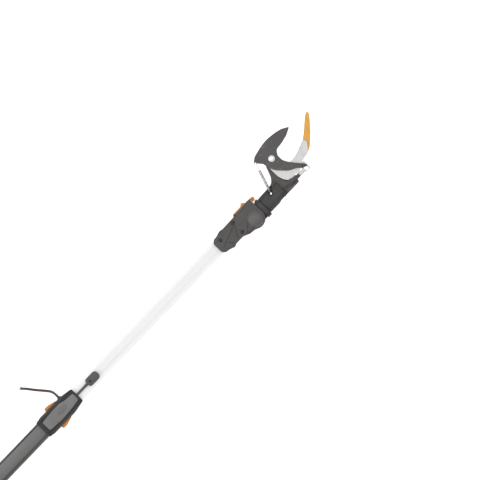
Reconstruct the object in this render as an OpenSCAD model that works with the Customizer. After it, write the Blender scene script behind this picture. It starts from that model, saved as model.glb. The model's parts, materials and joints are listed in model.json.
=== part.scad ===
// Telescoping tree pruner with a hooked cutting head on a two-part pole, lying flat.
// +X runs along the pole to the head, +Y to the side of the upper jaw, +Z up.
// The origin is on the pole axis at the foot of the lower tube.

/* [Pole] */
// Outside diameter of the lower tube
outer_d = 32; // [31:0.5:34]
// Wall of the lower tube
outer_wall = 1.5; // [1.2:0.1:2]
// Length of the lower tube
outer_len = 1960; // [1700:10:2300]
// Outside diameter of the upper tube
inner_d = 28; // [26:0.5:28.4]
// Wall of the upper tube
inner_wall = 1.3; // [1:0.1:2]
// Length of the upper tube that shows between the collar and the head
exposed_len = 365; // [330:5:430]
// Length of the upper tube behind the front of the collar
inner_tail_len = 1500; // [1300:10:1550]
// Depth of the upper tube in the head housing
socket_depth = 40; // [34:1:41]

/* [Grip] */
// Length of the hand grip
grip_len = 220; // [150:5:300]
// Outside diameter of the hand grip
grip_d = 42; // [38:0.5:46]
// Distance from the foot of the pole to the hand grip
grip_x = 120; // [80:5:250]
// Diameter of the pull ball
ball_d = 38; // [30:1:42]

/* [Collar] */
// Length of the clamp collar
collar_len = 88; // [84:1:110]
// Width of the clamp collar
collar_w = 39; // [38.5:0.5:44]
// Height of the clamp collar without its panels
collar_h = 40; // [39:0.5:46]
// Length of the lower tube inside the collar
collar_lap = 52; // [48:1:54]
// Length of a lock button
button_len = 25; // [20:0.5:28]
// Width of a lock button
button_w = 14; // [10:0.5:16]
// How far a lock button stands out of the collar
button_proud = 5; // [4.5:0.1:6]
// How far a lock button can be pressed
button_travel = 3; // [2:0.1:3.2]

/* [Cord] */
// Diameter of the cord
cord_d = 4.6; // [4:0.1:5]
// Length of the stop knob
knob_len = 25; // [20:1:30]
// Width of the stop knob
knob_w = 16.5; // [12:0.5:18]

/* [Housing] */
// Thickness of the head housing
housing_t = 38; // [35:1:42]
// Thickness of the knuckle between the housing's ears
knuckle_t = 20; // [18:0.5:22]
// Radius of the tilt joint's round ears
ear_r = 18.5; // [17:0.5:18.5]
// Radius of the tilt bolt
tilt_bolt_r = 4; // [3:0.5:5]

/* [Cutting head] */
// Thickness of the fixed steel hook
hook_t = 3; // [2.5:0.1:4]
// Thickness of the moving blade
blade_t = 3.5; // [2.5:0.1:4.5]
// Thickness of the pull yoke
yoke_t = 3; // [2.5:0.1:4]
// Radius of the blade's pivot bolt
pivot_r = 4; // [3:0.5:5]
// Radius of the pin that pulls the blade
drive_pin_r = 1.8; // [1.5:0.1:2]
// Radius of the return spring
spring_r = 3; // [2.8:0.1:3.4]
// Thickness of the frame behind the hook
frame_t = 5.5; // [4:0.5:8]

/* [Fits] */
// Gap between flat faces that slide past each other
slide_gap = 0.3; // [0.25:0.05:0.5]
// Radial gap of a shaft that turns or slides in its bore
run_gap = 0.05; // [0.02:0.01:0.08]
// Radial gap of a part fixed in its seat
seat_gap = 0.02; // [0:0.01:0.05]

/* [Hidden] */
$fn = 64;
eps = 0.01;
big = 200;

// Places along the pole
collar_x = outer_len - collar_lap;
collar_end = collar_x + collar_len;
head_x = collar_end + exposed_len;
outer_r = outer_d / 2;
outer_bore_r = outer_r - outer_wall;
inner_r = inner_d / 2;
inner_bore_r = inner_r - inner_wall;
inner_x = collar_end - inner_tail_len;
plug_len = 35;
plug_flange = 10;
plug_lip = 1.5;
plug_flat = 11;
lanyard_r = 2;
lanyard_at = [-5.5, 9.5];

// Places in the head, from the housing's lower end on the pole axis
tilt = [85, -12];
tilt_slot_r = 22;
flange_x = tilt.x + ear_r + 0.5;
flange_len = 9;
neck_x = flange_x + flange_len;
pivot = [183.5, 41.5];
anchor = [137.5, -1.5];

// Planes of the cutting head, from back to front
hook_z = -1;
hook_top = hook_z + hook_t;
blade_z = hook_top + slide_gap;
blade_top = blade_z + blade_t;
yoke_z = hook_z - slide_gap - yoke_t;
frame_top = yoke_z - slide_gap;
frame_z = frame_top - frame_t;
strap_w = 6;
strap_t = 1.5;
strap_z = yoke_z + yoke_t / 2;
spring_z = -1;

// Blade drive, from the blade's pivot
drive_pin_at = [31.4, -49];
drive_r = norm(drive_pin_at);
tail_at = [-26, 15];
rod_h = 7;
rod_y = -14.5;
rod_end_x = 156;
rod_gap = 0.5;

// Fixing screws
screw_head_r = 3.2;
screw_head_h = 1.6;
screw_r = 1.6;

// A rounded outline: each point is [x, y, corner radius], and a radius is limited by its two sides
function unit(v) = v / norm(v);
function turn(a) = a > 180 ? a - 360 : (a < -180 ? a + 360 : a);
function corner(p0, p1, p2, radius, n) =
    let (u = unit(p0 - p1), v = unit(p2 - p1), half = acos(u * v) / 2,
        r = min(radius, 0.48 * min(norm(p0 - p1), norm(p2 - p1)) * tan(half)),
        c = p1 + unit(u + v) * r / sin(half), d = r / tan(half),
        s = p1 + u * d - c, e = p1 + v * d - c,
        a = atan2(s.y, s.x), sweep = turn(atan2(e.y, e.x) - a))
    [for (i = [0:n]) c + r * [cos(a + sweep * i / n), sin(a + sweep * i / n)]];
function xy(p) = [p.x, p.y];
function soft(pts, n = 4) = let (k = len(pts)) [for (i = [0:k - 1])
    let (p = pts[i], q = pts[(i + k - 1) % k], s = pts[(i + 1) % k])
    each (p[2] == 0 ? [xy(p)] : corner(xy(q), xy(p), xy(s), p[2], n))];
function arc(c, r, a0, a1, n) =
    [for (i = [0:n]) let (a = a0 + (a1 - a0) * i / n) [c.x + r * cos(a), c.y + r * sin(a), 0]];

// A slab between two heights with a given outline
module slab(outline, z0, z1) {
    translate([0, 0, z0]) linear_extrude(z1 - z0) polygon(outline);
}
// A block with one outline in plan and another across the pole
module block(plan, section, x0, x1) {
    intersection() {
        slab(plan, -big, big);
        translate([x0, 0, 0]) rotate([90, 0, 90]) linear_extrude(x1 - x0) polygon(section);
    }
}
module rod_x(x0, x1, r) {
    translate([x0, 0, 0]) rotate([0, 90, 0]) cylinder(h = x1 - x0, r = r);
}
module rod_z(at, z0, z1, r) {
    translate([at.x, at.y, z0]) cylinder(h = z1 - z0, r = r);
}
module ring_x(x0, x1, r_out, r_in) {
    difference() {
        rod_x(x0, x1, r_out);
        rod_x(x0 - 1, x1 + 1, r_in);
    }
}
module at_head() { translate([head_x, 0, 0]) children(); }
module at_pivot() { at_head() translate([pivot.x, pivot.y, 0]) children(); }
module at_collar() { translate([collar_x, 0, 0]) children(); }
// A screw with a domed head whose top faces +Z
module screw(at, z_seat, length, head_r = screw_head_r, r = screw_r) {
    difference() {
        union() {
            rod_z(at, z_seat - length, z_seat + eps, r);
            intersection() {
                rod_z(at, z_seat, z_seat + screw_head_h, head_r);
                translate([at.x, at.y, z_seat + screw_head_h - 2 * head_r]) sphere(r = 2 * head_r);
            }
        }
        translate([at.x, at.y, z_seat + screw_head_h]) cube([0.8, 1.2 * head_r, 1.2], center = true);
    }
}
module screw_hole(at, z_seat, length, head_r = screw_head_r, r = screw_r) {
    rod_z(at, z_seat - length - seat_gap, z_seat + 1, r + seat_gap);
    rod_z(at, z_seat, z_seat + big, head_r + 0.2);
}

// ---- Lower pole ----

module outer_tube() {
    color("dimgray") ring_x(0, outer_len, outer_r, outer_bore_r);
}

strap_pair_gap = 1;
module strap_run(x0, x1, y0) {
    translate([x0, y0, strap_z - strap_w / 2]) cube([x1 - x0, strap_t, strap_w]);
}
inner_strap_y = -1.5;
pull_strap_y = inner_strap_y + strap_t + strap_pair_gap;

module butt_plug() {
    color("black") difference() {
        union() {
            rod_x(-plug_lip, 0, outer_r + 0.5);
            intersection() {
                rod_x(-plug_flange, 0, outer_r + 0.5);
                translate([-plug_flange, -plug_flat, -outer_d])
                    cube([plug_flange, 2 * plug_flat, 2 * outer_d]);
            }
            rod_x(-eps, plug_len, outer_bore_r - seat_gap);
        }
        translate([lanyard_at.x, -big, lanyard_at.y]) rotate([-90, 0, 0])
            cylinder(h = 2 * big, r = lanyard_r);
        translate([-big, pull_strap_y - slide_gap, strap_z - strap_w / 2 - slide_gap])
            cube([2 * big, strap_t + 2 * slide_gap, strap_w + 2 * slide_gap]);
    }
}

ball_x = -plug_flange - 1 - ball_d / 2;
module pull_ball() {
    color("darkorange") difference() {
        union() {
            translate([ball_x, pull_strap_y + strap_t / 2, strap_z]) sphere(d = ball_d);
            translate([0, pull_strap_y + strap_t / 2, strap_z]) rod_x(ball_x, -plug_flange - 0.5, 8);
        }
        strap_run(ball_x, big, pull_strap_y);
    }
}

pull_strap_end = inner_x + 200;
module pull_strap() {
    color("gainsboro") strap_run(ball_x, pull_strap_end, pull_strap_y);
}

module hand_grip() {
    color("dimgray") difference() {
        translate([grip_x, 0, 0]) rotate([0, 90, 0]) rotate_extrude() polygon(soft([
            [outer_r + seat_gap, 0, 0], [grip_d / 2, 0, 3], [grip_d / 2, grip_len * 0.35, 60],
            [grip_d / 2 - 1.5, grip_len / 2, 60], [grip_d / 2, grip_len * 0.65, 60],
            [grip_d / 2, grip_len, 3], [outer_r + seat_gap, grip_len, 0]]));
        for (i = [0:9])
            ring_x(grip_x + 35 + i * 15, grip_x + 38 + i * 15, grip_d, grip_d / 2 - 2.5);
    }
}
grip_ring_w = 9;
module grip_ring(x) {
    color("darkorange") ring_x(x, x + grip_ring_w, grip_d / 2 - 1, outer_r + seat_gap);
}
module grip_ring_1() { grip_ring(grip_x - grip_ring_w); }
module grip_ring_2() { grip_ring(grip_x + grip_len); }

// ---- Clamp collar ----

collar_band_len = 6;
button_x = 39.5;
button_half = collar_w / 2 + button_proud;
gland_x = 61;
gland_r = cord_d / 2 + 1.6;
neck_r = 2.4;
knob_seat = 3;
knob_z = inner_r + slide_gap + neck_r + 0.6;

function collar_plan(w) = soft([[collar_band_len, -w / 2 + 1, 2], [12, -w / 2, 8],
    [62, -w / 2, 30], [collar_len, -15, 4], [collar_len, 15, 4], [62, w / 2, 30], [12, w / 2, 8],
    [collar_band_len, w / 2 - 1, 2]]);
function collar_section(w, h) = soft([[-w / 2 - 1, -h / 2, 12], [w / 2 + 1, -h / 2, 12],
    [w / 2 + 1, h / 2, 12], [-w / 2 - 1, h / 2, 12]], 8);
collar_screw_at = [[20, -13.5], [74, 12.5]];
collar_screw_len = 5;

module button_pocket(side) {
    y0 = outer_r + 0.1;
    translate([button_x - button_len / 2 - slide_gap, side > 0 ? y0 : -big - y0, -button_w / 2 - slide_gap])
        cube([button_len + 2 * slide_gap, big, button_w + 2 * slide_gap]);
}
module collar_shell(side) {
    at_collar() difference() {
        block(collar_plan(collar_w), collar_section(collar_w, collar_h), 0, collar_len);
        rod_x(-1, collar_lap, outer_r + seat_gap);
        rod_x(collar_lap - eps, collar_len - 3, outer_r + seat_gap);
        rod_x(-1, collar_len + 1, inner_r + slide_gap);
        translate([-1, -big, side > 0 ? -big : 0]) cube([big, 2 * big, big]);
        button_pocket(1);
        button_pocket(-1);
        translate([gland_x, 0, 0]) rotate([-90, 0, 0]) cylinder(h = big, r = gland_r + seat_gap);
        translate([collar_len - knob_seat, 0, knob_z]) rotate([0, 90, 0])
            cylinder(h = 10, r = neck_r + seat_gap);
        if (side < 0)
            for (p = collar_screw_at)
                mirror([0, 0, 1]) screw_hole(p, collar_h / 2 - 3, collar_screw_len);
    }
}
module collar_front() { color("black") collar_shell(1); }
module collar_back() { color("black") collar_shell(-1); }

panel_t = 1.5;
panel_plan = soft([[8.5, 10, 3], [8.5, -9.5, 3], [38, -11.8, 20], [66, -10, 10], [84, -7.5, 3], [84, 7.5, 3],
    [67, 8.5, 6], [54, 12, 8], [38, 12.3, 20]]);
module collar_panel(side) {
    at_collar() slab(panel_plan, side > 0 ? collar_h / 2 : -collar_h / 2 - panel_t,
        side > 0 ? collar_h / 2 + panel_t : -collar_h / 2);
}
module collar_panel_front() { color("gray") collar_panel(1); }
module collar_panel_back() {
    color("gray") difference() {
        collar_panel(-1);
        at_collar() for (p = collar_screw_at)
            rod_z(p, -big, 0, screw_head_r + 0.4);
    }
}
module collar_liner() {
    color("darkgray") at_collar() ring_x(collar_lap + 0.2, collar_len - 3.2, outer_r, inner_r + run_gap);
}
module collar_band() {
    color("black") at_collar() difference() {
        block(soft([[0, -17.5, 1.5], [collar_band_len, -18.5, 1], [collar_band_len, 18.5, 1],
                [0, 17.5, 1.5]]),
            collar_section(collar_w, collar_h), 0, collar_band_len);
        rod_x(-1, collar_len, outer_r + seat_gap);
    }
}
module button(side) {
    color("darkorange") at_collar() mirror([0, side > 0 ? 0 : 1, 0]) intersection() {
        slab(soft([[button_x - button_len / 2, outer_r + button_travel + 0.3, 0],
            [button_x + button_len / 2, outer_r + button_travel + 0.3, 0],
            [button_x + button_len / 2, collar_w / 2 + 0.8, 1],
            [button_x - 2, button_half, 4], [button_x - button_len / 2, button_half, 3]]), -big, big);
        translate([button_x, 0, 0]) rotate([90, 0, 0]) translate([0, 0, -big]) linear_extrude(2 * big)
            polygon(soft([for (c = [[-1, -1], [1, -1], [1, 1], [-1, 1]])
                [c.x * button_len / 2, c.y * button_w / 2, 3]]));
    }
}
module button_upper() { button(1); }
module button_lower() { button(-1); }
module collar_screw(i) {
    color("silver") at_collar() mirror([0, 0, 1])
        screw(collar_screw_at[i], collar_h / 2 - 3, collar_screw_len);
}
module collar_screw_1() { collar_screw(0); }
module collar_screw_2() { collar_screw(1); }

// ---- Cord and its stop knob ----

// The cord leaves the collar's side, drops to the ground and lies there
cord_ground = -(collar_h / 2 + panel_t) + cord_d / 2;
cord_route = [[61, 21, 0], [61, 23.5, 0], [61, 27.5, -3], [60.5, 31.5, -7.8], [59.5, 35.5, -13],
    [57.5, 39.5, -16.8], [54.5, 43.5, -18.8], [50.5, 48.5, cord_ground], [46, 54, cord_ground],
    [42, 59, cord_ground], [38.5, 63.5, cord_ground], [35.3, 68, cord_ground], [32.2, 72.2, cord_ground],
    [29, 76, cord_ground], [26, 79.5, cord_ground]];

module tube_along(path, r, sides) {
    n = len(path);
    up = [0, 0, 1];
    rings = [for (i = [0:n - 1]) let (d = unit(path[min(i + 1, n - 1)] - path[max(i - 1, 0)]),
        s = unit(cross(d, abs(d.z) > 0.9 ? [1, 0, 0] : up)), w = cross(s, d))
        [for (k = [0:sides - 1]) path[i] + r * (cos(360 * k / sides) * s + sin(360 * k / sides) * w)]];
    points = [for (ring = rings) each ring];
    sides_faces = [for (i = [0:n - 2]) for (k = [0:sides - 1]) let (m = (k + 1) % sides)
        each [[i * sides + k, i * sides + m, (i + 1) * sides + m],
            [i * sides + k, (i + 1) * sides + m, (i + 1) * sides + k]]];
    first = [for (k = [sides - 1:-1:0]) k];
    last = [for (k = [0:sides - 1]) (n - 1) * sides + k];
    polyhedron(points, concat([first], sides_faces, [last]), convexity = 6);
}
module cord() {
    color("#4a4038") at_collar() tube_along(cord_route, cord_d / 2, 8);
}
module cord_gland() {
    color("black") at_collar() translate([gland_x, outer_r + 0.5, 0]) rotate([-90, 0, 0])
        cylinder(h = cord_route[0].y - outer_r - 0.5, r = gland_r);
}
module stop_knob() {
    color("dimgray") translate([collar_end - 5, 0, knob_z]) {
        rod_x(5 - knob_seat, 34, neck_r);
        translate([24, 0, 0]) rotate([0, 90, 0]) cylinder(h = 10, r1 = neck_r, r2 = neck_r + 0.5);
        intersection() {
            slab(soft([[32, -knob_w / 2, 5], [34 + knob_len, -knob_w / 2, 6],
                [34 + knob_len, knob_w / 2, 6], [32, knob_w / 2, 5]]), -neck_r - 0.5, 8);
            translate([30 + knob_len / 2, 0, -14]) rotate([0, 90, 0])
                cylinder(h = big, r = 20.5, center = true);
        }
    }
}

// ---- Upper tube ----

module inner_tube() {
    color("whitesmoke") ring_x(inner_x, head_x + socket_depth, inner_r, inner_bore_r);
}
bush_len = 45;
module inner_bush() {
    color("black") difference() {
        union() {
            rod_x(inner_x - 6, inner_x, outer_bore_r - run_gap);
            rod_x(inner_x - eps, inner_x + bush_len, inner_bore_r - seat_gap);
        }
        rod_x(inner_x - 10, inner_x + bush_len + 1, inner_bore_r - 2.5);
    }
}
roller_r = 10.5;
roller_w = strap_w + 0.6;
module inner_strap() {
    color("gainsboro") strap_run(inner_x + 5, head_x + tilt.x - 24, inner_strap_y);
}
module strap_cleat() {
    x0 = inner_x + 20;
    color("silver") difference() {
        translate([x0, inner_strap_y - 2, strap_z - strap_w / 2 - 2])
            cube([24, 2 * strap_t + strap_pair_gap + 4, strap_w + 4]);
        translate([x0 - 1, pull_strap_y - slide_gap, strap_z - strap_w / 2 - slide_gap])
            cube([26, strap_t + 2 * slide_gap, strap_w + 2 * slide_gap]);
        strap_run(x0 - 1, x0 + 25, inner_strap_y);
    }
}

// ---- Head housing and tilt joint ----

housing_end = tilt.x + ear_r - 0.5;
housing_plan = soft(concat(
    [[70, -25.5, 12], [60, -24.5, 6], [47, -18.7, 8], [30, -18.7, 8], [23.5, -21.2, 3], [14, -17.5, 6],
        [5, -16, 3], [0, -10, 4], [0, 10, 4], [6, 15.5, 4], [14, 16, 6], [23.5, 19, 3], [31, 17.5, 6],
        [59, 18, 8], [66, 20, 8], [housing_end, 20.5, 3]],
    arc(tilt, ear_r, 8, -118, 14)));
housing_section = soft([[-33, -housing_t / 2, 14], [22.5, -housing_t / 2, 10], [22.5, housing_t / 2, 10],
    [-33, housing_t / 2, 14]], 8);
housing_screw_at = [[14, 6], [52, -12], [52, 12]];
housing_screw_len = [3.4, housing_t - 8, housing_t - 8];
lever_pivot = [64, 18.6];
lever_pin_r = 1.6;
lever_eye_r = 3.5;
lever_w = 12;
lever_recess_y = 14.2;

module housing_core() {
    difference() {
        block(housing_plan, housing_section, -1, housing_end + 1);
        rod_x(-2, socket_depth + 0.2, inner_r + seat_gap);
        // Slot between the ears, where the knuckle swings
        rod_z(tilt, -knuckle_t / 2 - slide_gap, knuckle_t / 2 + slide_gap, tilt_slot_r + 0.5);
        slab([[tilt.x, tilt.y + tilt_slot_r], [tilt.x + 30, tilt.y + tilt_slot_r], [tilt.x + 30, -60],
            [tilt.x - 16, -60], [tilt.x - 16, tilt.y]],
            -knuckle_t / 2 - slide_gap, knuckle_t / 2 + slide_gap);
        // Passage of the strap
        translate([socket_depth - 1, inner_strap_y - 1, strap_z - strap_w / 2 - 0.5])
            cube([tilt.x - socket_depth, strap_t + 2, strap_w + 1]);
        rod_z(tilt, -big, big, tilt_bolt_r + run_gap);
        rod_z(tilt, housing_t / 2 - 3, big, 8.2);
        translate([tilt.x, tilt.y, -big]) cylinder(h = big - housing_t / 2 + 4, r = 7.3, $fn = 6);
        // Seat of the lock lever
        translate([lever_pivot.x - 7, lever_recess_y, -lever_w / 2 - slide_gap])
            cube([big, 20, lever_w + 2 * slide_gap]);
        rod_z(lever_pivot, -big, big, lever_pin_r + seat_gap);
        for (i = [0:len(housing_screw_at) - 1])
            screw_hole(housing_screw_at[i], housing_t / 2 - 2, housing_screw_len[i]);
    }
}
module housing_half(side) {
    at_head() intersection() {
        housing_core();
        translate([-5, -big, side > 0 ? 0 : -big]) cube([big + 5, 2 * big, big]);
    }
}
module housing_front() { color("#3c3a39") housing_half(1); }
module housing_back() { color("#3c3a39") housing_half(-1); }
module housing_screw(i) {
    color("#222222") at_head() screw(housing_screw_at[i], housing_t / 2 - 2, housing_screw_len[i]);
}
module housing_screw_1() { housing_screw(0); }
module housing_screw_2() { housing_screw(1); }
module housing_screw_3() { housing_screw(2); }

module tilt_bolt() {
    color("dimgray") at_head() {
        rod_z(tilt, -housing_t / 2 + 1, housing_t / 2 - 3 + eps, tilt_bolt_r);
        intersection() {
            rod_z(tilt, housing_t / 2 - 3, housing_t / 2 + 0.5, 8);
            translate([tilt.x, tilt.y, housing_t / 2 - 19.5]) sphere(r = 20);
        }
    }
}
module tilt_nut() {
    color("silver") at_head() difference() {
        translate([tilt.x, tilt.y, -housing_t / 2]) cylinder(h = 4, r = 7, $fn = 6);
        rod_z(tilt, -housing_t / 2 + 0.98, big, tilt_bolt_r + seat_gap);
    }
}
module lock_lever() {
    // Lies on the housing's edge and hooks over the flange of the knuckle
    tip_x = flange_x + flange_len - 2;
    color("darkorange") at_head() difference() {
        slab(soft(concat(
            arc(lever_pivot, lever_eye_r, 90, 270, 8),
            [[80, 17, 4], [flange_x - 0.3, 17, 0], [flange_x - 0.3, 12.6, 1], [flange_x + 3, 12.2, 1],
                [tip_x, 13.5, 2], [tip_x, 20, 3], [93, 21, 3], [87, 26.5, 1.5], [82, 22.1, 2]])),
            -lever_w / 2, lever_w / 2);
        rod_z(lever_pivot, -big, big, lever_pin_r + run_gap);
    }
}
module lever_pin() { color("silver") at_head() rod_z(lever_pivot, -11, 11, lever_pin_r); }

// ---- Knuckle, neck and frame of the cutting head ----

flange_y = [-28.5, 9.5];
flange_t = 32;
knuckle_rim_r = ear_r - 0.5;
slot_half = roller_w / 2 + slide_gap;
module knuckle() {
    color("#2a2827") at_head() difference() {
        union() {
            rod_z(tilt, -knuckle_t / 2, knuckle_t / 2, knuckle_rim_r);
            slab([[tilt.x, tilt.y - 14], [flange_x + 1, tilt.y - 14], [flange_x + 1, 8], [tilt.x + 4, 5],
                [tilt.x, tilt.y + 14]], -knuckle_t / 2, knuckle_t / 2);
            block(soft([[flange_x, flange_y[0], 2], [neck_x, flange_y[0], 3], [neck_x, flange_y[1], 3],
                [flange_x, flange_y[1], 2]]), soft([[flange_y[0], -flange_t / 2, 8],
                [flange_y[1], -flange_t / 2, 8], [flange_y[1], flange_t / 2, 8],
                [flange_y[0], flange_t / 2, 8]], 6), flange_x, neck_x);
            // Catch for the lock lever
            translate([flange_x + 3, flange_y[1] - 1, -lever_w / 2 - 3]) cube([4.5, 2.4, lever_w + 6]);
        }
        rod_z(tilt, -big, big, tilt_bolt_r + run_gap);
        rod_z(tilt, strap_z - slot_half, strap_z + slot_half, roller_r + 3);
        translate([tilt.x, -24, strap_z - slot_half]) cube([big, 26, 2 * slot_half]);
        translate([tilt.x - 30, -4, strap_z - slot_half]) cube([30, 8, 2 * slot_half]);
    }
}
module strap_roller() {
    color("white") at_head() difference() {
        rod_z(tilt, strap_z - roller_w / 2, strap_z + roller_w / 2, roller_r);
        rod_z(tilt, -big, big, tilt_bolt_r + run_gap);
        difference() {
            rod_z(tilt, strap_z - strap_w / 2, strap_z + strap_w / 2, roller_r + 1);
            rod_z(tilt, -big, big, roller_r - 0.7);
        }
    }
}

neck_y = [-24.5, 8.5];
base_x = neck_x + 24;
base_end = 158;
base_y = [-23, 9.5];
bar_end = [193, 188];
// Outline of the dark arm that rises from the base to the pivot
arm_left = [[146, 9.5, 3], [152, 12, 6], [158.5, 19, 12], [163, 30, 12], [165.5, 36, 12], [170, 44, 6]];
pivot_boss_r = 11;
spike_plan = soft(concat(arm_left, [[172, 44, 0], [167, 30, 4], [167.3, 11, 20], [169.5, 1, 8],
    [175, -8.5, 3], [176, -9.5, 0], [146, -9.5, 0]]), 3);
anchor_r = 1.8;
coil_start = 7;
tail_from_head = pivot + tail_at;
spring_len = norm(tail_from_head - anchor);
spring_dir = atan2(tail_from_head.y - anchor.y, tail_from_head.x - anchor.x);
spring_slot_w = 2 * spring_r + 2;
neck_rivet_at = [[119, -21], [119, 5], [149, 4], [153, -21]];
rivet_r = 1.5;
rivet_sink = 5.5;

module spring_slot(z0) {
    for (a = [0, 5, 10])
        translate([anchor.x, anchor.y, z0]) rotate([0, 0, spring_dir - a]) {
            cylinder(h = big, r = spring_slot_w / 2);
            translate([0, -spring_slot_w / 2, 0]) cube([40, spring_slot_w, big]);
        }
}
module rod_channel() {
    translate([neck_x - 1, rod_y - rod_h / 2 - rod_gap, yoke_z - slide_gap])
        cube([big, rod_h + 2 * rod_gap, yoke_t + 2 * slide_gap]);
}
module neck_back() {
    color("#2a2827") at_head() difference() {
        union() {
            slab(soft([[neck_x, neck_y[0], 2], [base_x, neck_y[0], 4], [base_x + 4, base_y[0], 4],
                [bar_end[1], base_y[0], 2], [bar_end[0], -9, 2], [180, -8.5, 3], [182, 1, 3], [196, 3, 5],
                [199, 14, 5], [192, 30, 10], [194, 41.5, 8], [188, 53, 8], [174, 52, 8], [165, 36, 10],
                [158.5, 19, 12], [152, 12, 6], [146, 9.5, 4], [neck_x, neck_y[1], 2]]), frame_z, frame_top);
            slab(soft([[153, 1, 1], [168, 1, 1], [166.5, 28, 3], [172, 44, 3], [164.5, 30, 8], [159.5, 18, 8],
                [153, 11, 3]]), frame_top - eps, hook_z);
            rod_z(pivot, frame_top - eps, hook_z, pivot_boss_r);
            for (r = hook_rivet_at)
                rod_z(pivot + r, frame_top - eps, hook_z, 5);
        }
        rod_z(pivot, -big, big, pivot_r + seat_gap);
        for (r = hook_rivet_at)
            rod_z(pivot + r, -big, big, hook_rivet_r + seat_gap);
        for (p = neck_rivet_at)
            rod_z(p, -big, big, rivet_r + seat_gap);
        rod_z(anchor, frame_top - 3, big, anchor_r + seat_gap);
        spring_slot(spring_z - spring_r - 0.3);
        translate([neck_x - 1, -24, strap_z - slot_half]) cube([base_end - neck_x, 26, 2 * slot_half]);
    }
}
neck_front_z = 12;
module neck_front() {
    color("#2a2827") at_head() difference() {
        block(soft([[neck_x, neck_y[0], 2], [base_x, neck_y[0], 4], [base_x + 4, base_y[0], 4],
            [base_end, base_y[0], 2], [base_end, base_y[1], 3], [base_x, 9.2, 2], [base_x - 2, neck_y[1], 2],
            [neck_x, neck_y[1], 2]]), soft([[-30, frame_top, 0], [20, frame_top, 0], [20, 0, 0],
            [9.5, neck_front_z - 4, 6], [4, neck_front_z, 6], [-18, neck_front_z, 6],
            [-24.5, neck_front_z - 5, 6], [-30, 0, 0]]), neck_x, base_end);
        rod_channel();
        translate([neck_x - 1, -24, frame_top - 1])
            cube([base_x - neck_x + 6, 26, slot_half + strap_z - frame_top + 1]);
        translate([neck_x, rod_y - rod_h / 2 - rod_gap, frame_top - 1])
            cube([big, rod_h + 2, slot_half + strap_z - frame_top + 1]);
        for (p = neck_rivet_at)
            rod_z(p, -big, big, rivet_r + seat_gap);
        for (p = neck_rivet_at)
            rod_z(p, neck_front_z - rivet_sink, big, rivet_r + 1.5);
        rod_z(anchor, -big, neck_front_z - 2, anchor_r + seat_gap);
        spring_slot(spring_z - spring_r - 0.3);
        slab(spike_plan, frame_top - 1, hook_top + slide_gap);
    }
}
module guide_plate() {
    // Flush with the hook: the dark arm's face and the cover of the pull rod
    color("#4a4441") at_head() difference() {
        union() {
            slab(spike_plan, hook_z, hook_top);
            slab(soft([[base_end + slide_gap, base_y[0], 1], [bar_end[1], base_y[0], 2], [bar_end[0], -9, 2],
                [base_end + slide_gap, -8.5, 0]]), hook_z, hook_top);
            translate([base_end + 2, base_y[0] + 0.2, frame_top])
                cube([bar_end[1] - 6 - base_end, yoke_y[0] - base_y[0] - 0.7, hook_z - frame_top + eps]);
        }
        pin_sweep(hook_z - 5, hook_top + 1);
        spring_slot(frame_top - 1);
        for (p = neck_rivet_at)
            rod_z(p, -big, big, rivet_r + seat_gap);
    }
}
// Room that the drive pin needs over its whole swing
pin_play = 0.8;
module pin_sweep(z0, z1) {
    a0 = atan2(drive_pin_at.y, drive_pin_at.x);
    slab(soft(concat(arc(pivot, drive_r + drive_pin_r + pin_play, a0 + 6, a0 - blade_swing - 4, 24),
        arc(pivot, drive_r - drive_pin_r - pin_play, a0 - blade_swing - 4, a0 + 6, 24))), z0, z1);
}
blade_swing = 48;
yoke_w = 12;
yoke_y = [-20.5, -2.5];
module neck_rivet(i) {
    p = neck_rivet_at[i];
    top = neck_front_z - rivet_sink;
    color("silver") at_head() {
        rod_z(p, frame_z, top + eps, rivet_r);
        rod_z(p, top, top + 1, rivet_r + 1.2);
    }
}
module neck_rivet_1() { neck_rivet(0); }
module neck_rivet_2() { neck_rivet(1); }
module neck_rivet_3() { neck_rivet(2); }
module neck_rivet_4() { neck_rivet(3); }

// ---- Fixed hook ----

hook_rivet_at = [[-3, -17], [9, -31]];
hook_rivet_r = 2.5;
hook_reach_r = drive_r - drive_pin_r - 1.2;
hook_body = soft(concat(
    [[-15.5, -8, 3], [-15.5, -30.5, 8], [-12.5, -40.5, 8], [-7, -49, 2], [11, -49.5, 2]],
    arc([0, 0], hook_reach_r, -75, -56, 5),
    [[36.5, -42.5, 2], [50, -40.5, 20], [55.5, -38.5, 0], [67.5, -24, 0], [63.5, -17, 0],
        [49.5, -21.5, 60], [36.5, -26.5, 40], [24, -28.5, 15], [15.5, -26, 6], [10.5, -17, 6]],
    arc([0, 0], 11.5, -30, 120, 12)));
module hook_plate() {
    color("lightgray") at_pivot() difference() {
        slab(hook_body, hook_z, hook_top);
        rod_z([0, 0], -big, big, pivot_r + seat_gap);
        for (r = hook_rivet_at)
            rod_z(r, -big, big, hook_rivet_r + seat_gap);
    }
}
hook_tip_plan = soft([[55.5, -38.5, 0], [63, -35, 12], [82, -18.5, 60], [101, 2, 40], [106, 9, 3],
    [105, 13.5, 1.5], [98, 10.5, 12], [88, 2.5, 60], [75, -8.5, 60], [63.5, -17, 0], [67.5, -24, 0]]);
module hook_tip() { color("orange") at_pivot() slab(hook_tip_plan, hook_z, hook_top); }
module hook_rivet(i) {
    color("silver") at_pivot() rod_z(hook_rivet_at[i], frame_z - 1, hook_top, hook_rivet_r);
}
module hook_rivet_1() { hook_rivet(0); }
module hook_rivet_2() { hook_rivet(1); }

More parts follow.
